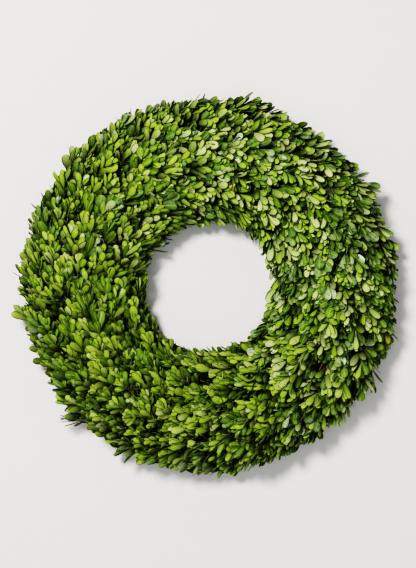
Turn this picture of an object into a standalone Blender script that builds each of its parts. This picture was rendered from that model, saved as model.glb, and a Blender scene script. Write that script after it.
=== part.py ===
"""Boxwood wreath, lying on its back with its leafy front up.

A round wreath of twenty-four bunches of boxwood. Each bunch lies on a welded wire frame
with its leaf tips pointing clockwise, and one long binding wire goes round the neck of
every bunch and under the frame. Metres, +Z up. The origin is on the surface that the
frame's crossbars rest on, at the middle of the hole. +Y is the top when it hangs.
"""

import math
import random

import bmesh
import bpy
from mathutils import Matrix, Vector
from mathutils.bvhtree import BVHTree

# Driving dimensions of the wreath
RING_RADIUS = 0.1655
BUNCH_COUNT = 24
BUNCH_TURN = math.tau / BUNCH_COUNT
CLEARANCE = 0.0003

# The bunch's body of twigs and inner leaves, measured from the ring's centreline
BODY_HALF_WIDTH = 0.066
BODY_MIDDLE_HEIGHT = 0.037
BODY_RISE = 0.046
BODY_DROP = 0.024
BODY_CORNERS = (-35, 0, 35, 70, 110, 145, 180, 215)
BODY_GAP_TURN = CLEARANCE / (RING_RADIUS - BODY_HALF_WIDTH)

# The flat seat under the body, which rests on the frame's two back rings
SEAT_HALF_WIDTH = 0.0168

# The neck, where the twigs are gathered under the binding wire
NECK_SHARE = 0.42
NECK_TURN = 0.10 * BUNCH_TURN
SHOULDER_TURN = 0.30 * BUNCH_TURN

# One leaf: a blade that is widest past its middle, with a domed upper side
LEAF_LENGTH = 0.038
LEAF_WIDTH = 0.0215
LEAF_THICKNESS = 0.0021
LEAF_DOME = 0.0022
LEAF_CROWN_SHARE = 0.55
LEAF_OUTLINE_POWER = 0.6
LEAF_SINK = 0.0035
LEAF_RISE = math.radians(31)

# Leaves stand in lanes along the bunch, staggered from one lane to the next
LANE_COUNT = 14
LANE_FIRST = math.radians(-25)
LANE_LAST = math.radians(206)
LEAF_STEP = 0.0258
FIRST_LEAF_SHARE = 0.34
LAST_LEAF_SHARE = 0.90

# How far each leaf may differ from the rule, either way
LENGTH_SPREAD = 0.08
WIDTH_SPREAD = 0.07
LANE_SPREAD = math.radians(2.5)
SHARE_SPREAD = 0.03
RISE_SPREAD = math.radians(5)
YAW_SPREAD = math.radians(28)
ROLL_SPREAD = math.radians(12)
FIRST_SEED = 100

# A leaf is drawn again while it crosses another, up to this many times
LEAF_CLEARANCE_SCALE = 1.08
PLACING_TRIES = 60

# The wire frame: four rings on bent crossbars
FRAME_WIRE_RADIUS = 0.0017
CROSSBAR_COUNT = 6
CROSSBAR_SHARE = 0.6
BACK_RING_OFFSET = 0.014
FRONT_RING_OFFSET = 0.034
WELD_DEPTH = 0.0005
CROSSBAR_FLAT_HALF = 0.018
CROSSBAR_END_OFFSET = 0.037
CROSSBAR_END_RISE = 0.008
RING_SEGMENTS = 32
RING_SIDES = 5
CAP_WELD_DISTANCE = 1e-6

# The binding wire, and how much wider than the neck's corners its bends are
BINDING_RADIUS = 0.0006
BINDING_EASE = 1.3
BINDING_SIDE_OFFSET = 0.0398
BINDING_SIDE_HEIGHT = 0.0105
BINDING_LEAD = 0.055 * BUNCH_TURN
BINDING_RETURN = 0.55 * BUNCH_TURN

# Flat-bottomed hexagonal wire: its middle is this high above the surface
CROSSBAR_HEIGHT = FRAME_WIRE_RADIUS * math.cos(math.radians(30))
BACK_RING_HEIGHT = CROSSBAR_HEIGHT + 2 * FRAME_WIRE_RADIUS - WELD_DEPTH
SEAT_HEIGHT = BACK_RING_HEIGHT + FRAME_WIRE_RADIUS + CLEARANCE


def clear_scene():
    for thing in list(bpy.data.objects):
        bpy.data.objects.remove(thing, do_unlink=True)


def collection_named(name):
    found = bpy.data.collections.new(name)
    bpy.context.scene.collection.children.link(found)
    return found


def material_named(name, colour, roughness, metallic=0.0):
    material = bpy.data.materials.new(name)
    material.use_nodes = True
    shader = material.node_tree.nodes["Principled BSDF"]
    shader.inputs["Base Color"].default_value = (*colour, 1.0)
    shader.inputs["Roughness"].default_value = roughness
    shader.inputs["Metallic"].default_value = metallic
    return material


def object_from(name, shape, collection, material=None):
    """An object in a collection, from a bmesh, which is then freed, or from curve data."""
    if isinstance(shape, bmesh.types.BMesh):
        data = bpy.data.meshes.new(name)
        shape.to_mesh(data)
        shape.free()
    else:
        data = shape
    thing = bpy.data.objects.new(name, data)
    if material:
        data.materials.append(material)
    collection.objects.link(thing)
    return thing


def wire_curve(name, points, radius, resolution):
    """A round wire along straight stretches between the points, with closed ends."""
    curve = bpy.data.curves.new(name, "CURVE")
    curve.dimensions = "3D"
    curve.bevel_depth = radius
    curve.bevel_resolution = resolution
    curve.use_fill_caps = True
    spline = curve.splines.new("POLY")
    spline.points.add(len(points) - 1)
    for spline_point, point in zip(spline.points, points):
        spline_point.co = (*point, 1.0)
    return curve


def ring_point(offset, height, turn):
    """A point by its offset from the ring's centreline, its height and its clockwise turn."""
    reach = RING_RADIUS + offset
    return Vector((reach * math.cos(turn), -reach * math.sin(turn), height))


def applied_union(base, others):
    """Joins every object of a collection to the base, applies it and removes them."""
    joined = base.modifiers.new("join", "BOOLEAN")
    joined.operation = "UNION"
    joined.solver = "EXACT"
    joined.operand_type = "COLLECTION"
    joined.collection = others
    bpy.context.view_layer.update()
    graph = bpy.context.evaluated_depsgraph_get()
    whole = bpy.data.meshes.new_from_object(base.evaluated_get(graph))
    base.modifiers.clear()
    base.data = whole
    for thing in list(others.objects):
        bpy.data.objects.remove(thing, do_unlink=True)


def body_corner(degrees):
    """(offset, height) of a corner of the body's cross-section, round from its outer side."""
    angle = math.radians(degrees)
    reach = BODY_RISE if math.sin(angle) >= 0 else BODY_DROP
    offset = BODY_HALF_WIDTH * math.cos(angle)
    return offset, BODY_MIDDLE_HEIGHT + reach * math.sin(angle)


def body_section():
    """The cross-section's corners: the leafy arch, then the seat on the frame."""
    section = [body_corner(degrees) for degrees in BODY_CORNERS]
    section.append((-SEAT_HALF_WIDTH, SEAT_HEIGHT))
    section.append((SEAT_HALF_WIDTH, SEAT_HEIGHT))
    return section


def body_surface(angle):
    """(offset, height) on the leafy arch, and its outward direction as (offset, height)."""
    degrees = math.degrees(angle)
    for low, high in zip(BODY_CORNERS, BODY_CORNERS[1:]):
        if low <= degrees <= high:
            share = (degrees - low) / (high - low)
            start, end = Vector(body_corner(low)), Vector(body_corner(high))
            reach = BODY_RISE if math.sin(angle) >= 0 else BODY_DROP
            outward = Vector((math.cos(angle) / BODY_HALF_WIDTH, math.sin(angle) / reach))
            return start.lerp(end, share), outward.normalized()
    raise ValueError("the angle lies off the leafy arch")


def neck_section():
    """The body's cross-section drawn in towards its seat."""
    return [
        (NECK_SHARE * offset, SEAT_HEIGHT + NECK_SHARE * (height - SEAT_HEIGHT))
        for offset, height in body_section()
    ]


def bunch_body():
    """The closed body of one bunch, from its neck to its full section."""
    bm = bmesh.new()
    corners = [bm.verts.new(ring_point(*at, BODY_GAP_TURN)) for at in neck_section()]
    back = front = bm.faces.new(corners)
    stations = [
        (neck_section(), NECK_TURN),
        (body_section(), SHOULDER_TURN),
        (body_section(), BUNCH_TURN - BODY_GAP_TURN),
    ]
    for section, turn in stations:
        inner = front
        grown = bmesh.ops.extrude_face_region(bm, geom=[inner])["geom"]
        front = next(part for part in grown if isinstance(part, bmesh.types.BMFace))
        for vert, at in zip(front.verts, section):
            vert.co = ring_point(*at, turn)
        if inner is not back:
            bmesh.ops.delete(bm, geom=[inner], context="FACES_ONLY")
    bmesh.ops.recalc_face_normals(bm, faces=bm.faces)
    return bm


def leaf_blade(length, width):
    """A domed leaf blade, rooted at the origin, along +X with its upper side to +Z."""
    bm = bmesh.new()
    bmesh.ops.create_uvsphere(bm, u_segments=6, v_segments=2, radius=1.0)
    widest = math.sin(math.radians(60))
    for vert in bm.verts:
        x, y, z = vert.co
        if abs(z) > 0.5:
            half = 0.5 * LEAF_THICKNESS * math.copysign(1, z)
            vert.co = (LEAF_CROWN_SHARE * length, 0, LEAF_DOME + half)
        else:
            along = max(0.0, (1 + y) / 2) ** LEAF_OUTLINE_POWER
            vert.co = (length * along, -0.5 * width * x / widest, 0)
    return bm


def leaf_placement(angle, turn, rise, yaw, roll):
    """Where a leaf stands on the body: clockwise along the ring, lifted by its rise."""
    (offset, height), (out_offset, out_height) = body_surface(angle)
    radial = Vector((math.cos(turn), -math.sin(turn), 0))
    forward = Vector((-math.sin(turn), -math.cos(turn), 0))
    outward = out_offset * radial + out_height * Vector((0, 0, 1))
    upper = math.cos(rise) * outward - math.sin(rise) * forward
    along = math.cos(rise) * forward + math.sin(rise) * outward
    along = Matrix.Rotation(yaw, 3, upper) @ along
    upper = Matrix.Rotation(roll, 3, along) @ upper
    side = upper.cross(along)
    root = ring_point(offset, height, turn) - LEAF_SINK * outward
    turned = Matrix((along, side, upper)).transposed().to_4x4()
    return Matrix.Translation(root) @ turned


def leaf_lanes():
    """Yields each lane's number and its angle round the leafy arch, from the outer side."""
    for lane in range(LANE_COUNT):
        share = lane / (LANE_COUNT - 1)
        yield lane, LANE_FIRST + share * (LANE_LAST - LANE_FIRST)


def lane_shares(lane, angle):
    """How far along the bunch each leaf of a lane comes out; next lanes are staggered."""
    (offset, _height), _outward = body_surface(angle)
    room = (RING_RADIUS + offset) * BUNCH_TURN
    count = max(1, round(room / LEAF_STEP))
    pitch = (LAST_LEAF_SHARE - FIRST_LEAF_SHARE) / (2 * count - 1)
    return [FIRST_LEAF_SHARE + pitch * (2 * k + lane % 2) for k in range(count)]


def drawn_leaf(draw, angle, share):
    """A leaf blade near a place on its bunch, at a size and a slant that are drawn."""
    blade = leaf_blade(
        LEAF_LENGTH * (1 + draw.uniform(-LENGTH_SPREAD, LENGTH_SPREAD)),
        LEAF_WIDTH * (1 + draw.uniform(-WIDTH_SPREAD, WIDTH_SPREAD)),
    )
    place = leaf_placement(
        angle=angle + draw.uniform(-LANE_SPREAD, LANE_SPREAD),
        turn=BUNCH_TURN * (share + draw.uniform(-SHARE_SPREAD, SHARE_SPREAD)),
        rise=LEAF_RISE + draw.uniform(-RISE_SPREAD, RISE_SPREAD),
        yaw=draw.uniform(-YAW_SPREAD, YAW_SPREAD),
        roll=draw.uniform(-ROLL_SPREAD, ROLL_SPREAD),
    )
    bmesh.ops.transform(blade, matrix=place, verts=blade.verts)
    return blade


def turned_by(bunches):
    """The turn that carries the first bunch to the place of a later one."""
    return Matrix.Rotation(-bunches * BUNCH_TURN, 4, "Z")


def surface_tree(bm, place):
    """A bmesh's faces as they lie once placed, to test what crosses them."""
    bm.verts.index_update()
    corners = [place @ vert.co for vert in bm.verts]
    faces = [[vert.index for vert in face.verts] for face in bm.faces]
    return BVHTree.FromPolygons(corners, faces)


def swollen_tree(blade, number):
    """A blade's middle and faces in its bunch's place, swollen to leave a clearance."""
    middle = sum((vert.co for vert in blade.verts), Vector()) / len(blade.verts)
    swelling = Matrix.Translation(middle) @ Matrix.Scale(LEAF_CLEARANCE_SCALE, 4)
    place = turned_by(number) @ swelling @ Matrix.Translation(-middle)
    return turned_by(number) @ middle, surface_tree(blade, place)


def is_clear(middle, tree, next_body, placed):
    """Whether a blade crosses neither the next bunch's body nor any blade placed so far."""
    if tree.overlap(next_body):
        return False
    near = (other for at, other in placed if (middle - at).length < 2 * LEAF_LENGTH)
    return not any(tree.overlap(other) for other in near)


def bunch_leaves(number, collection, placed):
    """The leaves of one bunch, as separate closed blades rooted in its body."""
    draw = random.Random(FIRST_SEED + number)
    body = bunch_body()
    next_body = surface_tree(body, turned_by(number + 1))
    body.free()
    for lane, angle in leaf_lanes():
        for share in lane_shares(lane, angle):
            for _try in range(PLACING_TRIES):
                blade = drawn_leaf(draw, angle, share)
                middle, tree = swollen_tree(blade, number)
                if is_clear(middle, tree, next_body, placed):
                    placed.append((middle, tree))
                    object_from("leaf", blade, collection)
                    break
                blade.free()


def build_bunches(collection, leaf_green):
    placed = []
    for number in range(BUNCH_COUNT):
        name = f"bunch_{number + 1:02d}"
        bunch = object_from(name, bunch_body(), collection, leaf_green)
        leaves = collection_named(f"leaves_of_{name}")
        bunch_leaves(number, leaves, placed)
        applied_union(bunch, leaves)
        bpy.data.collections.remove(leaves)
        bunch.matrix_world = turned_by(number)


def crossbar_path():
    """(offset, height) along a crossbar: flat under the back rings, turned up at both ends."""
    rise = (CROSSBAR_END_OFFSET, CROSSBAR_HEIGHT + CROSSBAR_END_RISE)
    flat = (CROSSBAR_FLAT_HALF, CROSSBAR_HEIGHT)
    return [rise, flat, (-flat[0], flat[1]), (-rise[0], rise[1])]


def front_ring_height():
    """The front rings lie on the crossbars' turned-up ends, sunk in by the weld."""
    run = CROSSBAR_END_OFFSET - CROSSBAR_FLAT_HALF
    slope = math.atan2(CROSSBAR_END_RISE, run)
    below = CROSSBAR_HEIGHT + (FRONT_RING_OFFSET - CROSSBAR_FLAT_HALF) * math.tan(slope)
    return below + (2 * FRAME_WIRE_RADIUS - WELD_DEPTH) / math.cos(slope)


def frame_ring(offset, height):
    bpy.ops.mesh.primitive_torus_add(
        major_segments=RING_SEGMENTS,
        minor_segments=RING_SIDES,
        major_radius=RING_RADIUS + offset,
        minor_radius=FRAME_WIRE_RADIUS,
        location=(0, 0, height),
    )
    return bpy.context.object


def moved_to(thing, collection):
    for home in list(thing.users_collection):
        home.objects.unlink(thing)
    collection.objects.link(thing)
    return thing


def welded_mesh(curve_object):
    """The curve's tube as a mesh whose caps are joined to its sides."""
    bpy.context.view_layer.update()
    graph = bpy.context.evaluated_depsgraph_get()
    mesh = bpy.data.meshes.new_from_object(curve_object.evaluated_get(graph))
    bm = bmesh.new()
    bm.from_mesh(mesh)
    bmesh.ops.remove_doubles(bm, verts=bm.verts, dist=CAP_WELD_DISTANCE)
    bm.to_mesh(mesh)
    bm.free()
    return mesh


def build_frame(collection, steel):
    front = front_ring_height()
    rings = [
        (BACK_RING_OFFSET, BACK_RING_HEIGHT),
        (-BACK_RING_OFFSET, BACK_RING_HEIGHT),
        (FRONT_RING_OFFSET, front),
        (-FRONT_RING_OFFSET, front),
    ]
    others = collection_named("frame_members")
    frame = moved_to(frame_ring(*rings[0]), collection)
    frame.name = "wire_frame"
    frame.data.materials.append(steel)
    for ring in rings[1:]:
        moved_to(frame_ring(*ring), others)
    for number in range(CROSSBAR_COUNT):
        turn = BUNCH_TURN * (CROSSBAR_SHARE + number * BUNCH_COUNT / CROSSBAR_COUNT)
        points = [ring_point(*at, turn) for at in crossbar_path()]
        curve = wire_curve("crossbar", points, FRAME_WIRE_RADIUS, 1)
        bar = object_from("crossbar_curve", curve, others)
        mesh = welded_mesh(bar)
        bpy.data.objects.remove(bar, do_unlink=True)
        others.objects.link(bpy.data.objects.new("crossbar", mesh))
    applied_union(frame, others)
    bpy.data.collections.remove(others)
    return frame


def binding_turn():
    """(offset, height, turn) along one turn of the binding wire, over a neck and under."""
    clear = BINDING_RADIUS + CLEARANCE
    under = BACK_RING_HEIGHT - FRAME_WIRE_RADIUS - clear
    side, low = BINDING_SIDE_OFFSET, BINDING_SIDE_HEIGHT
    lead, back = BINDING_LEAD, BINDING_RETURN
    over = []
    for degrees, (offset, height) in zip(BODY_CORNERS, neck_section()):
        if 0 < degrees < 180:
            spread = Vector((offset, height - SEAT_HEIGHT))
            wider = spread * (1 + BINDING_EASE * clear / spread.length)
            over.append((wider.x, SEAT_HEIGHT + wider.y, lead))
    return [
        (side, low, lead),
        *over,
        (-side, low, lead),
        (-CROSSBAR_FLAT_HALF, under, 0.5 * (lead + back)),
        (CROSSBAR_FLAT_HALF, under, back),
        (side, low, back),
    ]


def build_binding(collection, steel):
    points = []
    for number in range(BUNCH_COUNT):
        start = number * BUNCH_TURN
        points += [
            ring_point(offset, height, start + turn)
            for offset, height, turn in binding_turn()
        ]
    curve = wire_curve("binding_wire", points, BINDING_RADIUS, 0)
    return object_from("binding_wire", curve, collection, steel)


def main():
    clear_scene()
    wreath = collection_named("boxwood_wreath")
    leaf_green = material_named("boxwood_leaf", (0.13, 0.24, 0.03), 0.45)
    frame_steel = material_named("green_painted_wire", (0.03, 0.07, 0.035), 0.5)
    binding_steel = material_named("green_binding_wire", (0.05, 0.10, 0.045), 0.4, 0.3)
    build_frame(wreath, frame_steel)
    build_bunches(wreath, leaf_green)
    build_binding(wreath, binding_steel)


main()
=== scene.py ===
"""The looks of a boxwood wreath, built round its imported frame.

Every bunch is dressed with leafy sprigs that grow out of its core of twigs, tips clockwise,
and the wire frame and its binding wire get round, painted wires. Metres, +Z out of the leafy
front, +Y towards the top of the hanging wreath. Turns go clockwise from +X. Angles on the
leafy arch go from its outer side over its top to the hole's side.
"""

import math
import random
from collections import namedtuple

import bmesh
import bpy
from mathutils import Matrix, Vector


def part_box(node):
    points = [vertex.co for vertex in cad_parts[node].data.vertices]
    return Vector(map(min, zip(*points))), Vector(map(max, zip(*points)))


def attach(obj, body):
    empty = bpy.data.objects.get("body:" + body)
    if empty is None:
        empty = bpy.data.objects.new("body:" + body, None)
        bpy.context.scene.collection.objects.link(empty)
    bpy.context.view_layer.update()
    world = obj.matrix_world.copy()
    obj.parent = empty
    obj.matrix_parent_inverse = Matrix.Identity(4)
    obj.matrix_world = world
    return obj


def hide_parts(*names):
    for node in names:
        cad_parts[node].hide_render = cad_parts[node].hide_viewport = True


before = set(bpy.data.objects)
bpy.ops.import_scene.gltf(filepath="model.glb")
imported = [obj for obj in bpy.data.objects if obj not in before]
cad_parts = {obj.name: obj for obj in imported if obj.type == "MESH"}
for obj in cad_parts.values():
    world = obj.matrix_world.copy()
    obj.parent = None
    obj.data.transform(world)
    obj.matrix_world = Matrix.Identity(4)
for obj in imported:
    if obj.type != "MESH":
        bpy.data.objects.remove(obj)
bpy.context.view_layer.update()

# The ring, as in the frame
RING_RADIUS = 0.1655
BUNCHES = sorted(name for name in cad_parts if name.startswith("bunch_"))
BUNCH_TURN = math.tau / len(BUNCHES)
FRAME_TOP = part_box("wire_frame")[1].z

# The wire frame: four rings and the crossbars under them, by offset and height
WIRE_RADIUS = 0.00145
WIRE_ROUNDNESS = 4
WIRE_RINGS = ((0.014, 0.00437), (-0.014, 0.00437), (0.034, 0.01136), (-0.034, 0.01136))
RING_STEPS = 180
CROSSBAR_COUNT = 6
CROSSBAR_SHARE = 0.6
CROSSBAR_BENDS = ((0.037, 0.00947), (0.018, 0.00148), (-0.018, 0.00148), (-0.037, 0.00947))
CROSSBAR_ROUNDING = 0.004

# One turn of the binding wire over a bunch's neck: offset, height and share of the bunch
BINDING_RADIUS = 0.0006
BINDING_ROUNDNESS = 2
BINDING_ROUNDING = 0.006
BINDING_TURN = (
    (0.0398, 0.0105, 0.055), (0.0235, 0.0312, 0.055), (0.0098, 0.0385, 0.055),
    (-0.0098, 0.0385, 0.055), (-0.0235, 0.0312, 0.055), (-0.0398, 0.0105, 0.055),
    (-0.0180, 0.0018, 0.303), (0.0180, 0.0018, 0.550), (0.0398, 0.0105, 0.550),
)

# How a wire turns a corner: steps of each curve, and the most of a straight that it takes
CORNER_STEPS = 4
CORNER_SHARE = 0.45
SAME_PLACE = 1e-6

# The leafy arch's cross-section, measured from the ring's centreline
ARCH_HALF_WIDTH = 0.0660
ARCH_SHIFT = -0.001
ARCH_MIDDLE_HEIGHT = 0.037
ARCH_RISE = 0.046
ARCH_DROP = 0.024

# The core of twigs inside each bunch, and its stations by share of the bunch and size
CORE_SEED = 900
CORE_DEPTH = 0.014
CORE_CORNERS = (-38, -15, 10, 35, 60, 80, 100, 120, 145, 170, 195, 218)
CORE_STATIONS = (
    (0.02, 0.42), (0.10, 0.45), (0.20, 0.9), (0.40, 1.0), (0.65, 1.0), (0.90, 0.98), (0.99, 0.9),
)
CORE_SEAT_HALF_WIDTH = 0.0168
CORE_SEAT_SINK = 0.004
CORE_ROUGHNESS = 0.0022

# Where sprigs grow: lanes round the arch, and places along each lane
BUNCH_SEED = 500
LANE_COUNT = 17
LANE_FIRST = math.radians(-32)
LANE_LAST = math.radians(212)
LANE_SEARCH_STEPS = 400
LANE_WANDER = 3
SPRIG_STEP = 0.0160
SPRIG_JITTER = 0.22
FIRST_SPRIG_SHARE = 0.06

# A sprig's stem: it rises from its root and bends, with angles in degrees
SPRIG_LENGTH = 0.044
SPRIG_SPREAD = 0.006
SPRIG_ROOT_DEPTH = 0.013
SPRIG_STATIONS = 9
SPRIG_RISE = (26, 42)
SPRIG_BEND = (-34, -16)
SPRIG_YAW_SPREAD = 12
SPRIG_YAW_BEND_SPREAD = 14
STEM_RADIUS = 0.0008
STEM_ROUNDNESS = 1
STEM_TAPER = 0.55

# Sprigs that stand out of the foliage: turn and place on the arch in degrees, how many times
# as long and how many degrees steeper than the others, and their pairs of leaves
STRAY_SPRIGS = (
    (199, 181, 1.20, 14, 6), (165, -2, 1.00, 22, 3), (274, 8, 1.15, 14, 5),
    (259, 10, 1.10, 12, 6), (21, 4, 1.05, 14, 6), (318, 20, 1.10, 14, 5), (128, 6, 1.10, 14, 5),
)

# The cut stems along the back of each bunch, between its core and the wires
CUT_STEM_COUNT = 13
CUT_STEM_GAP = 0.0042
CUT_STEM_RADIUS = 0.0013
CUT_STEM_TAPER = 0.3
CUT_STEM_STATIONS = 6
CUT_STEM_FIRST = (-0.12, 0.06)
CUT_STEM_LAST = (0.62, 1.0)
CUT_STEM_SLANT = 0.0016
CUT_STEM_GATHER = 0.58  # how far apart the stems are at the neck, as a share of their gap
CUT_STEM_FAN = 0.5  # how much of the gap they gain along the bunch
CUT_STEM_CLIMB = 0.9  # how steeply the outer ones follow the core up from its seat
CUT_STEM_SINK = 0.0046
CUT_STEM_WAVER = 0.0006
CUT_STEM_BUMPS = (-0.0005, 0.0003)

# A leaf's size, and the heights that every leaf stays between
LEAF_LENGTH = 0.0232
LEAF_WIDTH = 0.0100
LEAF_THICKNESS = 0.0004
LOWEST_LEAF = 0.0012
HIGHEST_LEAF = 0.1110
LENGTH_SPREAD = (0.88, 1.12)
WIDTH_SPREAD = (0.86, 1.14)

# Leaf shapes: taper towards the root, cup, fold, droop and twist
LEAF_BENDS = (
    (1.25, 0.02, 0.08, 0.02, 0.00), (1.05, 0.05, 0.04, 0.08, 0.05),
    (1.45, 0.04, 0.12, 0.13, -0.07), (0.90, 0.01, 0.15, 0.04, 0.08),
    (1.20, 0.08, 0.00, 0.06, -0.04), (1.35, 0.03, 0.10, -0.07, 0.00),
    (0.80, 0.02, 0.08, 0.09, 0.07), (1.60, 0.05, 0.08, 0.14, 0.03),
)
LEAF_TIP = 0.5  # the power that rounds a leaf's tip
# Leaves have fewer rows of faces the deeper they are in the shade
OUTSIDE, HALF_HIDDEN, HIDDEN = range(3)
LEAF_ROWS = (9, 6, 5)
LEAF_COLUMNS = 2
HALF_HIDDEN_SHADE = 0.5
HIDDEN_SHADE = 1.2
UNIT_LEAF_WELD = 0.0001

# Each pair's distance from the sprig's tip, its size and its lean from the stem
LEAF_PAIRS = (
    (0.0005, 0.62, 14),
    (0.0055, 0.84, 23),
    (0.0120, 1.00, 30),
    (0.0190, 1.05, 36),
    (0.0265, 1.00, 42),
    (0.0345, 0.95, 48),
)
PAIR_TURN = 90
PAIR_TURN_SPREAD = 8
LEAF_TURN_SPREAD = 7
LEAN_SPREAD = 5
LEAN_KEPT = 0.3  # the share of its lean that a leaf right above or below the stem keeps
# A leaf that would point into the foliage comes round to one of these turns from the outside
DEEPEST_TURN = 140
NEAR_DEEPEST_TURN = (105, 140)

# How a leaf faces: how much it follows its pair, or the outside, and how far it rolls
NATIVE_SHARES = (0.3, 0.3, 0.3, 0.9)
ROLL_CHANCE = 0.2
ROLLED = 0.9
BARELY_ROLLED = 0.2
BACK_TO_FRONT_CHANCE = 0.62
LIKE_ITS_SPRIG_CHANCE = 0.88

# Tone goes from dark to light and hue from cool to warm. Both swing round the wreath. The tone's
# swing is painted light that makes the bunches at the lower left lighter. The hue's swing is
# partly the leaves' own colour and partly painted sheen, as the cool upper right gets paler
# undersides and more bloom.
BUNCH_TONE = 0.5
BUNCH_PAINTED_LIGHT_SWING = 0.06
PAINTED_LIGHTEST_TURN = math.radians(150)
BUNCH_HUE = 0.52
BUNCH_HUE_AND_SHEEN_SWING = 0.28
WARMEST_LEAST_SHEEN_TURN = math.radians(135)
SPRIG_TONE_SPREAD = 0.11
LEAF_TONE_SPREAD = 0.16
LEAF_HUE_SPREAD = 0.25
AGED_SPRIG_CHANCE = 0.001
AGED_LEAF_CHANCE = 0.003
AGES = (0.3, 0.8)

# Sprig sizes, and how the sprigs above a size differ: broad, dark, cool and glossy leaves
SPRIG_SIZES = (0.72, 1.20)
GLOSSY_SPRIG_SIZE = 1.183
GLOSSY_TONE_SHARE = 0.7
GLOSSY_HUE_DROP = 0.4
GLOSSY_BREADTH = 1.15
GLOSSY_NATIVE_SHARE = 0.3

# Shade grows from this pair number on towards a sprig's root, and towards the outer rim from
# this share of the arch's half width on
FIRST_SHADED_PAIR = 1.3
PAIR_SHADE = 0.34
RIM_START = 0.2
RIM_SHADE = 0.42

# Old leaves close to the core
INNER_LEAVES = 90
INNER_SHARES = (0.05, 1.0)
INNER_DEPTHS = (-0.014, -0.005)
INNER_SIZES = (0.85, 1.1)
INNER_TONES = (0.2, 0.6)
INNER_SHADES = (0.65, 0.95)
INNER_HUES = (0.2, 0.7)
INNER_OUTWARD = 0.45
INNER_SCATTER = 0.6

# Leaf greens: the dark ones, cool and warm, then the light ones, cool and warm
GREENS_ABOVE = (
    ((0.014, 0.042, 0.001), (0.025, 0.055, 0.001)),
    ((0.062, 0.170, 0.005), (0.110, 0.200, 0.006)),
)
GREENS_BELOW = (
    ((0.086, 0.195, 0.002), (0.136, 0.228, 0.002)),
    ((0.192, 0.312, 0.034), (0.250, 0.336, 0.060)),
)
# The underside's own pale colour, and partly a painted sheen on cool leaves
PALE_UNDERSIDE_AND_SHEEN = (0.305, 0.365, 0.155)
AGED_LEAF = (0.28, 0.25, 0.03)
MOTTLED_LEAF = (0.40, 0.42, 0.04)
RIB_AND_VEINS = (0.44, 0.53, 0.13)
# Painted shade at leaf margins, for the shadow gaps between stacked leaves
PAINTED_MARGIN_SHADE = (0.010, 0.022, 0.003)
DEEP_SHADE = (0.004, 0.007, 0.001)
# Partly waxy bloom and partly a painted sheen
WAXY_BLOOM_AND_PAINTED_SHEEN = (0.16, 0.25, 0.12)

# The patterns on a leaf. Along it, its root is at 0 and its tip at 1. Across it, its rib is
# at 0 and its edges are at 1. A strength says how much of its colour a pattern gets.
VEIN_COUNT = 15.0
VEIN_SLANT = 2.2
VEIN_START = 0.5
VEIN_STRENGTH = 0.14
RIB_EDGE = 0.11
RIB_NARROWING = 0.06
RIB_SOFTNESS = 0.06
RIB_STRENGTH = 0.40
# The dark band at a leaf's margin is painted shade, for the shadow gaps between stacked leaves
MARGIN_START = 0.77
MARGIN_SOFTNESS = 0.16
TIP_MARGIN_START = 0.93
TIP_MARGIN_SOFTNESS = 0.08
MARGIN_SHADE_STRENGTH = 0.88
MOTTLE_SCALE = 260.0
MOTTLE_START = 0.4
MOTTLE_STRENGTH = 0.5

# A leaf is as shaded as its mark says at one place along it, and more towards its root
SHADE_AS_MARKED = 0.34
SHADE_SLOPE = 1.1
SHADE_STRENGTH = 0.94

# Undersides are pale from this tone on, and less so the warmer they are. The extra paleness of
# cool ones is partly painted sheen.
PALE_START = 0.07
PALE_WARM_LOSS = 0.8
PALE_STRENGTH = 2.3

# The blotchy bloom and gloss on upper sides, and what shade and warmth take from them. The
# bloom's blue-grey colour is partly waxy bloom and partly a painted sheen.
BLOTCH_EDGE = 0.45
BLOTCH_SOFTNESS = 0.36
WAX_SHADE_LOSS = 0.9
BLOOM_AND_SHEEN_STRENGTH = 0.26
BLOOM_AND_SHEEN_WARM_LOSS = 0.7
GLOSS_STRENGTH = 1.35
GLOSS_WARM_LOSS = 1.1

# A leaf's roughness, and what its mottling and its underside add
LEAF_ROUGHNESS = 0.45
MOTTLE_ROUGHNESS = 0.15
UNDERSIDE_ROUGHNESS = 0.2

# A leaf's fine relief: its height, and each pattern's share of it
RELIEF_HEIGHT = 0.00025
RELIEF_STRENGTH = 0.6
VEIN_RELIEF = 0.10
RIB_RELIEF = 0.8  # sunk on the upper side and raised on the underside
MOTTLE_RELIEF = 0.3

# The other colours, each from one shade to another
TWIG_BARK = ((0.075, 0.075, 0.025), (0.165, 0.12, 0.055))
# The inner twigs are painted near black, for the deep shade in the middle of the foliage
SHADED_INNER_TWIGS = ((0.002, 0.003, 0.001), (0.016, 0.017, 0.007))
FRAME_PAINT = ((0.022, 0.060, 0.030), (0.07, 0.06, 0.05))
BINDING_COAT = ((0.045, 0.095, 0.040), (0.10, 0.09, 0.07))
FLOOR_SHADES = ((0.60, 0.592, 0.578), (0.63, 0.622, 0.608))

# The camera and the picture
PICTURE_HEIGHT = 568
METRES_PER_PIXEL = 0.001307
LENS = 90.0
SENSOR = 36.0
CLIP_END = 20.0
FOLIAGE_MIDDLE = 0.04
CAMERA_OFFSET_Y = 0.0025
FLOOR_HALF_SIZE = 9.0
FLOOR_GAP = 0.0002

# The lights: name, place, size, power and colour
LIGHTS = (
    ("key", (-0.70, 0.70, 2.12), 0.50, 87, (1.0, 0.97, 0.93)),
    ("fill", (-0.3, -0.4, 2.1), 1.6, 10, (0.92, 0.96, 1.0)),
    ("side fill", (1.6, -0.9, 0.7), 1.4, 5, (0.95, 0.97, 1.0)),
)
STUDIO_COLOUR = (1.0, 0.98, 0.94, 1)
STUDIO_STRENGTH = 0.37


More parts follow.
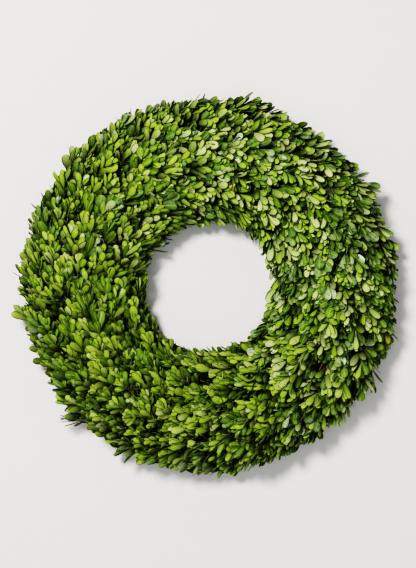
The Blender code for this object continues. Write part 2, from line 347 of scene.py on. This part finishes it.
class Link:
    """A socket's value in a material. An expression on it adds the Math nodes."""

    def __init__(self, looks, socket):
        self.looks = looks
        self.socket = socket

    def output(self, number):
        """Another output of the same node."""
        return Link(self.looks, self.socket.node.outputs[number])

    def maths(self, operation, first, second=0.0, clamp=False):
        settings = {"operation": operation, "use_clamp": clamp}
        return self.looks.node("ShaderNodeMath", settings, {0: first, 1: second})

    def __add__(self, other):
        return self.maths("ADD", self, other)

    def __sub__(self, other):
        return self.maths("SUBTRACT", self, other)

    def __mul__(self, other):
        return self.maths("MULTIPLY", self, other)

    def __truediv__(self, other):
        return self.maths("DIVIDE", self, other)

    def __radd__(self, other):
        return self.maths("ADD", other, self)

    def __rsub__(self, other):
        return self.maths("SUBTRACT", other, self)

    def __abs__(self):
        return self.maths("ABSOLUTE", self)

    def wave(self):
        """A sine that repeats each time the value grows by 1."""
        return self.maths("SINE", self * math.tau)

    def or_more(self, other):
        return self.maths("MAXIMUM", self, other)

    def clamped(self):
        return self.maths("ADD", self, 0.0, clamp=True)

    def above(self, edge, softness):
        """0 below an edge and 1 above it, with a soft step between."""
        return self.maths("ADD", (self - edge) / softness, 0.5, clamp=True)


def socket_name(keyword):
    return keyword.replace("_", " ").title().replace("Ior", "IOR")


class Looks:
    """One procedural material. Its method node adds every node that feeds the shader."""

    def __init__(self, name, **constants):
        self.material = bpy.data.materials.new(name)
        self.material.use_nodes = True
        self.tree = self.material.node_tree
        self.shader = self.tree.nodes["Principled BSDF"]
        for socket, value in constants.items():
            self.shader.inputs[socket_name(socket)].default_value = value

    def feed(self, socket, value):
        if isinstance(value, Link):
            self.tree.links.new(value.socket, socket)
        elif isinstance(value, tuple) and len(value) == 3 and socket.type == "RGBA":
            socket.default_value = (*value, 1.0)
        else:
            socket.default_value = value

    def node(self, kind, settings=None, inputs=None, output=0):
        made = self.tree.nodes.new(kind)
        for name, value in (settings or {}).items():
            setattr(made, name, value)
        for key, value in (inputs or {}).items():
            self.feed(made.inputs[key], value)
        return Link(self, made.outputs[output])

    def mix(self, share, first, second):
        """A colour between two, by a share from 0 to 1."""
        inputs = {0: share, 6: first, 7: second}
        return self.node("ShaderNodeMix", {"data_type": "RGBA"}, inputs, output=2)

    def noise(self, scale, detail=2.0, roughness=0.5):
        place = self.node("ShaderNodeTexCoord", output="Object")
        inputs = {"Vector": place, "Scale": scale, "Detail": detail, "Roughness": roughness}
        return self.node("ShaderNodeTexNoise", inputs=inputs)

    def drive(self, **sockets):
        for socket, value in sockets.items():
            self.feed(self.shader.inputs[socket_name(socket)], value)

    def bump(self, height, distance, strength=1.0):
        inputs = {"Height": height, "Distance": distance, "Strength": strength}
        self.drive(normal=self.node("ShaderNodeBump", inputs=inputs))


def leaf_looks():
    """Leathery boxwood leaves: glossy deep green above, matte and pale below."""
    looks = Looks("boxwood_leaf", specular_ior_level=0.17, coat_roughness=0.34)
    chart = looks.node("ShaderNodeUVMap", {"uv_map": "leaf_chart"})
    across = looks.node("ShaderNodeSeparateXYZ", inputs={0: chart})
    along = across.output(1)
    # The chart runs below 0 on undersides
    under = (0.0 - along).above(0.0, softness=0.001)
    along = abs(along)
    across = abs(across - 0.5) * 2.0
    # A leaf's mark holds its tone, age, shade and hue, in this order
    mark = looks.node("ShaderNodeAttribute", {"attribute_name": "leaf_mark"})
    hue = mark.output(3)
    tone = looks.node("ShaderNodeSeparateColor", inputs={0: mark})
    age, inside = tone.output(1), tone.output(2)
    mottle = looks.noise(MOTTLE_SCALE, detail=3.0)

    def greens(choices):
        dark, light = (looks.mix(hue, cool, warm) for cool, warm in choices)
        return looks.mix(tone, dark, light)

    green = looks.mix(under, greens(GREENS_ABOVE), greens(GREENS_BELOW))
    # Undersides pale most where they are light and cool. The paleness is the underside's own
    # colour, and on cool leaves partly a painted sheen.
    pale = under * (tone - hue * PALE_WARM_LOSS - PALE_START) * PALE_STRENGTH
    green = looks.mix(pale.clamped(), green, PALE_UNDERSIDE_AND_SHEEN)
    green = looks.mix(age, green, AGED_LEAF)
    green = looks.mix((mottle - MOTTLE_START) * MOTTLE_STRENGTH, green, MOTTLED_LEAF)

    # Slanting veins, a rib that narrows towards the tip, and a margin of painted shade for the
    # shadow gaps between stacked leaves
    veins = (along * VEIN_COUNT - across * VEIN_SLANT).wave()
    rib = 1.0 - across.above(RIB_EDGE - along * RIB_NARROWING, RIB_SOFTNESS)
    netting = rib * RIB_STRENGTH + (veins - VEIN_START).clamped() * VEIN_STRENGTH
    green = looks.mix(netting, green, RIB_AND_VEINS)
    margin_shade = across.above(MARGIN_START, MARGIN_SOFTNESS)
    margin_shade = margin_shade.or_more(along.above(TIP_MARGIN_START, TIP_MARGIN_SOFTNESS))
    green = looks.mix(margin_shade * MARGIN_SHADE_STRENGTH, green, PAINTED_MARGIN_SHADE)

    # Leaves get darker towards their roots and the deeper they are in the foliage
    shade = (inside + (SHADE_AS_MARKED - along) * SHADE_SLOPE).clamped()
    green = looks.mix(shade * SHADE_STRENGTH, green, DEEP_SHADE)

    # Cool leaves have the most of the blotchy bloom and gloss on their upper sides. The bloom is
    # partly waxy bloom and partly a painted sheen, mixed into the colour.
    waxy = (1.0 - under) * (1.0 - shade * WAX_SHADE_LOSS)
    waxy *= mottle.above(BLOTCH_EDGE, BLOTCH_SOFTNESS)
    bloom_and_sheen = waxy * (BLOOM_AND_SHEEN_STRENGTH - hue * BLOOM_AND_SHEEN_WARM_LOSS)
    green = looks.mix(bloom_and_sheen.clamped(), green, WAXY_BLOOM_AND_PAINTED_SHEEN)
    gloss = waxy * (GLOSS_STRENGTH - hue * GLOSS_WARM_LOSS)
    roughness = LEAF_ROUGHNESS + mottle * MOTTLE_ROUGHNESS + under * UNDERSIDE_ROUGHNESS
    looks.drive(base_color=green, roughness=roughness, coat_weight=gloss)

    height = veins * VEIN_RELIEF * (1.0 - rib) + rib * (under * (2 * RIB_RELIEF) - RIB_RELIEF)
    height += mottle * MOTTLE_RELIEF
    looks.bump(height, RELIEF_HEIGHT, RELIEF_STRENGTH)
    return looks.material


def twig_looks():
    looks = Looks("boxwood_twig")
    grain = looks.noise(scale=420.0, detail=4.0, roughness=0.6)
    bark = looks.mix(grain.above(edge=0.5, softness=0.35), *TWIG_BARK)
    looks.drive(base_color=bark, roughness=0.62 + grain * 0.2)
    looks.bump(grain, distance=0.0003)
    return looks.material


def core_looks():
    # Inner twigs, painted near black for the deep shade among them
    looks = Looks("shaded_inner_twigs")
    clumps = looks.noise(scale=160.0, detail=6.0, roughness=0.7)
    colour = looks.mix(clumps.above(edge=0.5, softness=0.3), *SHADED_INNER_TWIGS)
    looks.drive(base_color=colour, roughness=0.8 + clumps * 0.15)
    looks.bump(clumps, distance=0.002)
    return looks.material


def wire_looks(name, colour, worn):
    """Painted or coated wire, worn a little through to dark steel."""
    looks = Looks(name)
    speckle = looks.noise(scale=900.0, detail=4.0, roughness=0.65)
    wear = looks.noise(scale=90.0, detail=3.0).above(edge=0.68, softness=0.1)
    paint = looks.mix(wear * 0.7, looks.mix(speckle * 0.3, colour, worn), worn)
    looks.drive(base_color=paint, roughness=0.34 + speckle * 0.22, metallic=wear * 0.6)
    looks.bump(speckle, distance=0.00008)
    return looks.material


def floor_looks():
    looks = Looks("pale_floor", roughness=0.9)
    clouds = looks.noise(scale=30.0, detail=3.0)
    looks.drive(base_color=looks.mix(clouds, *FLOOR_SHADES))
    return looks.material


def ring_point(offset, height, turn):
    """A point by its offset from the ring's centreline, its height and its clockwise turn."""
    reach = RING_RADIUS + offset
    return Vector((reach * math.cos(turn), -reach * math.sin(turn), height))


def arch_height(angle):
    """How far the arch goes from its middle height, up or down, on that side."""
    return ARCH_RISE if math.sin(angle) >= 0 else ARCH_DROP


def arch_point(angle, turn, out):
    """A point near the leafy arch, this far outside it."""
    offset = ARCH_SHIFT + (ARCH_HALF_WIDTH + out) * math.cos(angle)
    height = ARCH_MIDDLE_HEIGHT + (arch_height(angle) + out) * math.sin(angle)
    return ring_point(offset, height, turn)


def arch_outward(angle, turn):
    """The direction out of the foliage there."""
    radial = Vector((math.cos(turn), -math.sin(turn), 0))
    slope = Vector((arch_height(angle) * math.cos(angle), ARCH_HALF_WIDTH * math.sin(angle)))
    slope.normalize()
    return (slope.x * radial + slope.y * Vector((0, 0, 1))).normalized()


def lane_angles():
    """Angles on the arch that are evenly spaced along its surface."""
    steps = LANE_SEARCH_STEPS
    angles = [LANE_FIRST + k * (LANE_LAST - LANE_FIRST) / steps for k in range(steps + 1)]
    places = [arch_point(angle, 0.0, 0.0) for angle in angles]
    walked = [0.0]
    for here, there in zip(places, places[1:]):
        walked.append(walked[-1] + (there - here).length)
    lanes = [walked[-1] * lane / (LANE_COUNT - 1) for lane in range(LANE_COUNT)]
    return [angles[min(range(steps + 1), key=lambda k: abs(walked[k] - at))] for at in lanes]


def scatter(draw):
    """A random vector, as likely to point one way as another."""
    return Vector([draw.gauss(0, 1) for _axis in range(3)])


def from_0_to_1(value):
    return min(1.0, max(0.0, value))


def mesh_from(bm, name):
    mesh = bpy.data.meshes.new(name)
    bm.to_mesh(mesh)
    bm.free()
    return mesh


def leaf_sheet(bm, rows, shape, sunk, chart, side):
    """One face of a leaf: a grid bent to the leaf's outline. Side is 1 above, -1 below."""
    made = bmesh.ops.create_grid(bm, x_segments=rows, y_segments=LEAF_COLUMNS, size=0.5)
    faces = {face for vert in made["verts"] for face in vert.link_faces}
    for face in faces:
        for loop in face.loops:
            x, y, _z = loop.vert.co
            loop[chart].uv = (y + 0.5, side * (x + 0.5))
        face.smooth = True
    for vert in made["verts"]:
        share, across = vert.co.x + 0.5, 2 * vert.co.y
        vert.co = shape(share, across, sunk)
    if side < 0:
        bmesh.ops.reverse_faces(bm, faces=list(faces))


def leaf_template(rows, taper, cup, fold, droop, twist):
    """A closed leaf of unit length and width, rooted at the origin, along +X, upper side +Z."""
    widest = taper / (taper + LEAF_TIP)
    scale = 0.5 / (widest ** taper * (1 - widest) ** LEAF_TIP)

    def shape(share, across, sunk):
        along = math.sin(0.5 * math.pi * share)
        half = scale * along ** taper * max(0.0, 1 - along) ** LEAF_TIP
        side = across * half
        height = fold * abs(side) - cup * 4 * side * side - droop * along ** 2
        height += twist * side * along
        height -= sunk * (1 - across * across) * 4 * along * (1 - along)
        return Vector((along, side, height))

    bm = bmesh.new()
    chart = bm.loops.layers.uv.new("leaf_chart")
    bm.verts.layers.float_color.new("leaf_mark")
    leaf_sheet(bm, rows, shape, 0.0, chart, 1)
    leaf_sheet(bm, rows, shape, LEAF_THICKNESS / LEAF_LENGTH, chart, -1)
    bmesh.ops.remove_doubles(bm, verts=bm.verts, dist=UNIT_LEAF_WELD)
    for edge in bm.edges:
        sides = {face.normal.z > 0 for face in edge.link_faces}
        edge.smooth = len(sides) == 1
    return mesh_from(bm, "leaf")


# What the leaves of a sprig share. A breadth widens them, and a native share says how much
# they face as their pair makes them, and not outwards.
SprigLook = namedtuple("SprigLook", "size tone hue aged breadth native_share back_to_front")


class Bunch:
    """Gathers the leaves and stems of one bunch as it grows."""

    def __init__(self, number, templates):
        self.start = number * BUNCH_TURN
        self.templates = templates
        self.draw = random.Random(BUNCH_SEED + number)
        self.bm = bmesh.new()
        self.bm.loops.layers.uv.new("leaf_chart")
        self.bm.verts.layers.float_color.new("leaf_mark")
        # The tone's swing round the wreath is painted light, and the hue's swing is partly
        # painted sheen
        self.tone = BUNCH_TONE + BUNCH_PAINTED_LIGHT_SWING * math.cos(self.start - PAINTED_LIGHTEST_TURN)
        self.hue = BUNCH_HUE + BUNCH_HUE_AND_SHEEN_SWING * math.cos(self.start - WARMEST_LEAST_SHEEN_TURN)
        self.stems = []
        self.cut_stems = []

    def leaf(self, hidden, root, along, upper, length, width, mark):
        """Adds a leaf, unless it would leave the heights that leaves stay between."""
        side = upper.cross(along).normalized()
        upper = along.cross(side)
        turned = Matrix((along, side, upper)).transposed().to_4x4()
        sized = Matrix.Diagonal((length, width, length, 1.0))
        mesh = self.draw.choice(self.templates[hidden]).copy()
        mesh.transform(Matrix.Translation(root) @ turned @ sized)
        heights = [vert.co.z for vert in mesh.vertices]
        if LOWEST_LEAF < min(heights) and max(heights) < HIGHEST_LEAF:
            values = list(mark) * len(mesh.vertices)
            mesh.attributes["leaf_mark"].data.foreach_set("color", values)
            self.bm.from_mesh(mesh)
        bpy.data.meshes.remove(mesh)

    def sprig(self, angle, turn, longer=1.0, higher=0.0, pairs=len(LEAF_PAIRS)):
        """One leafy sprig: a stem that leaves the core and bends along the ring."""
        draw = self.draw
        length = longer * (SPRIG_LENGTH + draw.uniform(-SPRIG_SPREAD, SPRIG_SPREAD))
        rise = math.radians(higher + draw.uniform(*SPRIG_RISE))
        bend = math.radians(draw.uniform(*SPRIG_BEND))
        yaw = math.radians(draw.gauss(0, SPRIG_YAW_SPREAD))
        yaw_bend = math.radians(draw.gauss(0, SPRIG_YAW_BEND_SPREAD))
        out = -SPRIG_ROOT_DEPTH
        step = length / (SPRIG_STATIONS - 1)
        points, outwards = [], []
        for station in range(SPRIG_STATIONS):
            points.append(arch_point(angle, turn, out))
            outwards.append(arch_outward(angle, turn))
            slope = rise + bend * station / SPRIG_STATIONS
            aside = yaw + yaw_bend * station / SPRIG_STATIONS
            reach = math.hypot(points[-1].x, points[-1].y)
            turn += step * math.cos(slope) * math.cos(aside) / reach
            angle += step * math.cos(slope) * math.sin(aside) / (ARCH_HALF_WIDTH + out)
            out += step * math.sin(slope)
        self.stems.append(points)
        self.leaf_pairs(points, outwards, length, pairs)

    def sprig_look(self):
        draw = self.draw
        tone = draw.gauss(self.tone, SPRIG_TONE_SPREAD)
        size = draw.uniform(*SPRIG_SIZES)
        aged = draw.random() < AGED_SPRIG_CHANCE
        back_to_front = draw.random() < BACK_TO_FRONT_CHANCE
        native_share = draw.choice(NATIVE_SHARES)
        if size > GLOSSY_SPRIG_SIZE:
            tone, hue = GLOSSY_TONE_SHARE * tone, self.hue - GLOSSY_HUE_DROP
            return SprigLook(size, tone, hue, aged, GLOSSY_BREADTH, GLOSSY_NATIVE_SHARE, False)
        return SprigLook(size, tone, self.hue, aged, 1.0, native_share, back_to_front)

    def leaf_pairs(self, points, outwards, length, pairs):
        """Leaves in pairs along a stem, each pair turned from the one before."""
        draw = self.draw
        look = self.sprig_look()
        phase = draw.uniform(0, 180)
        for number, (back, share_of_size, lean) in enumerate(LEAF_PAIRS[:pairs]):
            share = 1.0 - back * look.size / length
            at = share * (len(points) - 1)
            low = min(int(at), len(points) - 2)
            root = points[low].lerp(points[low + 1], at - low)
            axis = (points[low + 1] - points[low]).normalized()
            outward = outwards[low].lerp(outwards[low + 1], at - low)
            up = (outward - outward.dot(axis) * axis).normalized()
            turned = phase + PAIR_TURN * number + draw.gauss(0, PAIR_TURN_SPREAD)
            shade = max(0.0, number - FIRST_SHADED_PAIR) * PAIR_SHADE
            size = look.size * share_of_size
            for half in (0, 180):
                self.one_leaf(root, axis, up, turned + half, lean, size, look, shade)

    def one_leaf(self, root, axis, up, turned, lean, size, look, shade):
        """A leaf on a stem at root, turned round its axis from up, in degrees."""
        draw = self.draw
        shows_under = look.back_to_front == (draw.random() < LIKE_ITS_SPRIG_CHANCE)
        turned = (turned + draw.gauss(0, LEAF_TURN_SPREAD) + 180) % 360 - 180
        if abs(turned) > DEEPEST_TURN:
            turned = math.copysign(draw.uniform(*NEAR_DEEPEST_TURN), turned)
        aside = math.radians(turned)
        kept = LEAN_KEPT + (1 - LEAN_KEPT) * abs(math.sin(aside))
        lean = math.radians(lean * kept + draw.gauss(0, LEAN_SPREAD))
        away = math.cos(aside) * up + math.sin(aside) * axis.cross(up)
        along = (math.cos(lean) * axis + math.sin(lean) * away).normalized()
        facing = -1.0 if shows_under else 1.0
        native = math.sin(lean) * axis - math.cos(lean) * away
        hint = look.native_share * native + facing * (1.0 - 0.5 * look.native_share) * up
        roll = ROLLED if draw.random() < ROLL_CHANCE else BARELY_ROLLED
        hint += roll * scatter(draw)
        upper = (hint - hint.dot(along) * along).normalized()
        length = LEAF_LENGTH * size * draw.uniform(*LENGTH_SPREAD)
        width = LEAF_WIDTH * size * look.breadth * draw.uniform(*WIDTH_SPREAD)
        tone = from_0_to_1(look.tone + draw.gauss(0, LEAF_TONE_SPREAD))
        hue = from_0_to_1(draw.gauss(look.hue, LEAF_HUE_SPREAD))
        aged = look.aged or draw.random() < AGED_LEAF_CHANCE
        age = draw.uniform(*AGES) if aged else 0.0
        hidden = HALF_HIDDEN if shade < HIDDEN_SHADE else HIDDEN
        if shade < HALF_HIDDEN_SHADE:
            hidden = OUTSIDE
        beyond = (math.hypot(root.x, root.y) - RING_RADIUS) / ARCH_HALF_WIDTH - RIM_START
        shade = min(1.0, shade + RIM_SHADE * max(0.0, beyond))
        self.leaf(hidden, root, along, upper, length, width, (tone, age, shade, hue))

    def inner_leaf(self):
        """An old leaf close to the core, in the shade."""
        draw = self.draw
        angle = draw.uniform(LANE_FIRST, LANE_LAST)
        turn = self.start + BUNCH_TURN * draw.uniform(*INNER_SHARES)
        root = arch_point(angle, turn, draw.uniform(*INNER_DEPTHS))
        outward = arch_outward(angle, turn)
        forward = Vector((-math.sin(turn), -math.cos(turn), 0))
        along = forward + INNER_OUTWARD * outward + INNER_SCATTER * scatter(draw)
        along.normalize()
        upper = (outward - outward.dot(along) * along).normalized()
        size = draw.uniform(*INNER_SIZES)
        tone = draw.uniform(*INNER_TONES)
        mark = (tone, 0.0, draw.uniform(*INNER_SHADES), draw.uniform(*INNER_HUES))
        self.leaf(HIDDEN, root, along, upper, LEAF_LENGTH * size, LEAF_WIDTH * size, mark)

    def cut_stem(self, number):
        """A stem along the back of the core, with its cut end at the bunch's neck."""
        draw = self.draw
        offset = CUT_STEM_GAP * (number - (CUT_STEM_COUNT - 1) / 2)
        first, last = draw.uniform(*CUT_STEM_FIRST), draw.uniform(*CUT_STEM_LAST)
        slant = draw.gauss(0, CUT_STEM_SLANT)
        points = []
        for station in range(CUT_STEM_STATIONS):
            share = first + (last - first) * station / (CUT_STEM_STATIONS - 1)
            waver = draw.uniform(-CUT_STEM_WAVER, CUT_STEM_WAVER)
            spread = CUT_STEM_GATHER + CUT_STEM_FAN * share
            aside = offset * spread + slant * share + waver
            climb = CUT_STEM_CLIMB * max(0.0, abs(aside) - CORE_SEAT_HALF_WIDTH)
            height = FRAME_TOP - CUT_STEM_SINK + climb + draw.uniform(*CUT_STEM_BUMPS)
            points.append(ring_point(aside, height, self.start + BUNCH_TURN * share))
        self.cut_stems.append(points)

    def grow(self):
        draw = self.draw
        for lane, lane_angle in enumerate(lane_angles()):
            reach = RING_RADIUS + ARCH_HALF_WIDTH * math.cos(lane_angle)
            count = max(1, round(reach * BUNCH_TURN / SPRIG_STEP))
            for k in range(count):
                jitter = draw.uniform(-SPRIG_JITTER, SPRIG_JITTER)
                share = (k + 0.5 * (lane % 2) + jitter) / count
                angle = lane_angle + math.radians(draw.gauss(0, LANE_WANDER))
                self.sprig(angle, self.start + BUNCH_TURN * (FIRST_SPRIG_SHARE + share))
        for turn, angle, longer, higher, pairs in STRAY_SPRIGS:
            if 0 <= math.radians(turn) - self.start < BUNCH_TURN:
                self.sprig(math.radians(angle), math.radians(turn), longer, higher, pairs)
        for _leaf in range(INNER_LEAVES):
            self.inner_leaf()
        for number in range(CUT_STEM_COUNT):
            self.cut_stem(number)


def curve_end(corner, other, reach):
    """The point where the curve at a corner meets the straight to another point."""
    straight = other - corner
    return corner + min(reach, CORNER_SHARE * straight.length) * straight.normalized()


def rounded(points, reach):
    """A path whose corners are turned in short curves. The end points stay."""
    path = [points[0]]
    for before, corner, after in zip(points, points[1:], points[2:]):
        start, end = curve_end(corner, before, reach), curve_end(corner, after, reach)
        for step in range(CORNER_STEPS + 1):
            share = step / CORNER_STEPS
            path.append(start.lerp(corner, share).lerp(corner.lerp(end, share), share))
    return path + [points[-1]]


def tubes(paths, radius, roundness, taper=0.0, closed=False, material_number=0):
    """Round tubes along paths of points, with closed ends, as one mesh."""
    curve = bpy.data.curves.new("tubes", "CURVE")
    curve.dimensions = "3D"
    curve.bevel_depth = radius
    curve.bevel_resolution = roundness
    curve.use_fill_caps = not closed
    for points in paths:
        spline = curve.splines.new("POLY")
        spline.use_cyclic_u = closed
        spline.points.add(len(points) - 1)
        for number, (spline_point, point) in enumerate(zip(spline.points, points)):
            spline_point.co = (*point, 1.0)
            spline_point.radius = 1.0 - taper * number / len(points)
    holder = bpy.data.objects.new("tubes", curve)
    bpy.context.scene.collection.objects.link(holder)
    bpy.context.view_layer.update()
    graph = bpy.context.evaluated_depsgraph_get()
    bm = bmesh.new()
    bm.from_mesh(bpy.data.meshes.new_from_object(holder.evaluated_get(graph)))
    bpy.data.objects.remove(holder, do_unlink=True)
    bmesh.ops.remove_doubles(bm, verts=bm.verts, dist=SAME_PLACE)
    for face in bm.faces:
        face.material_index = material_number
        face.smooth = len(face.verts) == 4
    return mesh_from(bm, "tubes")


def core_section(scale):
    """The core's outline at one station, as offsets and heights."""
    section = []
    for degrees in CORE_CORNERS:
        angle = math.radians(degrees)
        offset = (ARCH_HALF_WIDTH - CORE_DEPTH) * math.cos(angle)
        height = ARCH_MIDDLE_HEIGHT + (arch_height(angle) - CORE_DEPTH) * math.sin(angle)
        section.append((scale * offset, scale * height + (1 - scale) * FRAME_TOP))
    section.append((-scale * CORE_SEAT_HALF_WIDTH, FRAME_TOP - CORE_SEAT_SINK))
    section.append((scale * CORE_SEAT_HALF_WIDTH, FRAME_TOP - CORE_SEAT_SINK))
    return section


def core_mesh(number, material_number):
    """The inner twigs of one bunch, narrow at its neck, painted near black for the deep shade
    among them.
    """
    start = number * BUNCH_TURN
    stations = [
        [ring_point(*at, start + share * BUNCH_TURN) for at in core_section(scale)]
        for share, scale in CORE_STATIONS
    ]
    bm = bmesh.new()
    front = back = bm.faces.new([bm.verts.new(place) for place in stations[0]])
    for places in stations[1:]:
        inner = front
        grown = bmesh.ops.extrude_face_region(bm, geom=[inner])["geom"]
        front = next(part for part in grown if isinstance(part, bmesh.types.BMFace))
        for vert, place in zip(front.verts, places):
            vert.co = place
        if inner is not back:
            bmesh.ops.delete(bm, geom=[inner], context="FACES_ONLY")
    bmesh.ops.recalc_face_normals(bm, faces=bm.faces)
    draw = random.Random(CORE_SEED + number)
    for vert in bm.verts:
        vert.co += CORE_ROUGHNESS * Vector([draw.uniform(-1, 1) for _axis in range(3)])
    for face in bm.faces:
        face.material_index = material_number
        face.smooth = True
    return mesh_from(bm, "core")


def dress(name, mesh, materials, node):
    """Puts a finished mesh in the scene in the place of a node."""
    for material in materials:
        mesh.materials.append(material)
    piece = bpy.data.objects.new(name, mesh)
    bpy.context.scene.collection.objects.link(piece)
    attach(piece, "root")
    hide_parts(node)


def dress_bunches():
    templates = [[leaf_template(rows, *bend) for bend in LEAF_BENDS] for rows in LEAF_ROWS]
    materials = [leaf_looks(), twig_looks(), core_looks()]
    twig, core = 1, 2
    for number, name in enumerate(BUNCHES):
        bunch = Bunch(number, templates)
        bunch.grow()
        stems = tubes(bunch.stems, STEM_RADIUS, STEM_ROUNDNESS, STEM_TAPER, material_number=twig)
        bunch.bm.from_mesh(stems)
        cut_stems = tubes(bunch.cut_stems, CUT_STEM_RADIUS, STEM_ROUNDNESS, CUT_STEM_TAPER,
                          material_number=twig)
        bunch.bm.from_mesh(cut_stems)
        bunch.bm.from_mesh(core_mesh(number, core))
        mesh = mesh_from(bunch.bm, f"boxwood_{name}")
        dress(f"boxwood_{name}", mesh, materials, name)


def dress_frame_wires():
    circles = [
        [ring_point(offset, height, math.tau * k / RING_STEPS) for k in range(RING_STEPS)]
        for offset, height in WIRE_RINGS
    ]
    crossbars = []
    for number in range(CROSSBAR_COUNT):
        turn = BUNCH_TURN * CROSSBAR_SHARE + math.tau * number / CROSSBAR_COUNT
        bends = [ring_point(offset, height, turn) for offset, height in CROSSBAR_BENDS]
        crossbars.append(rounded(bends, CROSSBAR_ROUNDING))
    bm = bmesh.new()
    bm.from_mesh(tubes(circles, WIRE_RADIUS, WIRE_ROUNDNESS, closed=True))
    bm.from_mesh(tubes(crossbars, WIRE_RADIUS, WIRE_ROUNDNESS))
    mesh = mesh_from(bm, "wires_and_crossbars")
    paint = wire_looks("green_painted_wire", *FRAME_PAINT)
    dress("wires_and_crossbars", mesh, [paint], "wire_frame")


def dress_binding_wire():
    turns = [
        ring_point(offset, height, BUNCH_TURN * (number + share))
        for number in range(len(BUNCHES)) for offset, height, share in BINDING_TURN
    ]
    mesh = tubes([rounded(turns, BINDING_ROUNDING)], BINDING_RADIUS, BINDING_ROUNDNESS)
    coat = wire_looks("green_binding_wire", *BINDING_COAT)
    dress("wound_binding_wire", mesh, [coat], "binding_wire")


def floor():
    bm = bmesh.new()
    place = Matrix.Translation((0, 0, -FLOOR_GAP))
    bmesh.ops.create_grid(bm, x_segments=1, y_segments=1, size=FLOOR_HALF_SIZE, matrix=place)
    mesh = mesh_from(bm, "floor")
    mesh.materials.append(floor_looks())
    ground = bpy.data.objects.new("floor", mesh)
    bpy.context.scene.collection.objects.link(ground)


def lights():
    target = Vector((0, 0, FOLIAGE_MIDDLE))
    for name, place, size, power, colour in LIGHTS:
        light = bpy.data.lights.new(name, "AREA")
        light.shape = "DISK"
        light.size = size
        light.energy = power
        light.color = colour
        lamp = bpy.data.objects.new(name, light)
        lamp.location = place
        lamp.rotation_euler = (target - Vector(place)).to_track_quat("-Z", "Y").to_euler()
        bpy.context.scene.collection.objects.link(lamp)
    world = bpy.data.worlds.new("studio")
    bpy.context.scene.world = world
    world.use_nodes = True
    world.node_tree.nodes["Background"].inputs["Color"].default_value = STUDIO_COLOUR
    world.node_tree.nodes["Background"].inputs["Strength"].default_value = STUDIO_STRENGTH
    bpy.context.scene.view_settings.view_transform = "Filmic"
    bpy.context.scene.view_settings.look = "Very High Contrast"


def camera():
    """Straight above the wreath, as far away as the photo's scale asks for."""
    data = bpy.data.cameras.new("camera")
    data.lens = LENS
    data.sensor_width = SENSOR
    data.clip_end = CLIP_END
    seen_height = PICTURE_HEIGHT * METRES_PER_PIXEL
    distance = seen_height * LENS / SENSOR
    eye = bpy.data.objects.new("camera", data)
    eye.location = (0.0, CAMERA_OFFSET_Y, distance + FOLIAGE_MIDDLE)
    bpy.context.scene.collection.objects.link(eye)
    bpy.context.scene.camera = eye


camera()
floor()
lights()
dress_frame_wires()
dress_binding_wire()
dress_bunches()
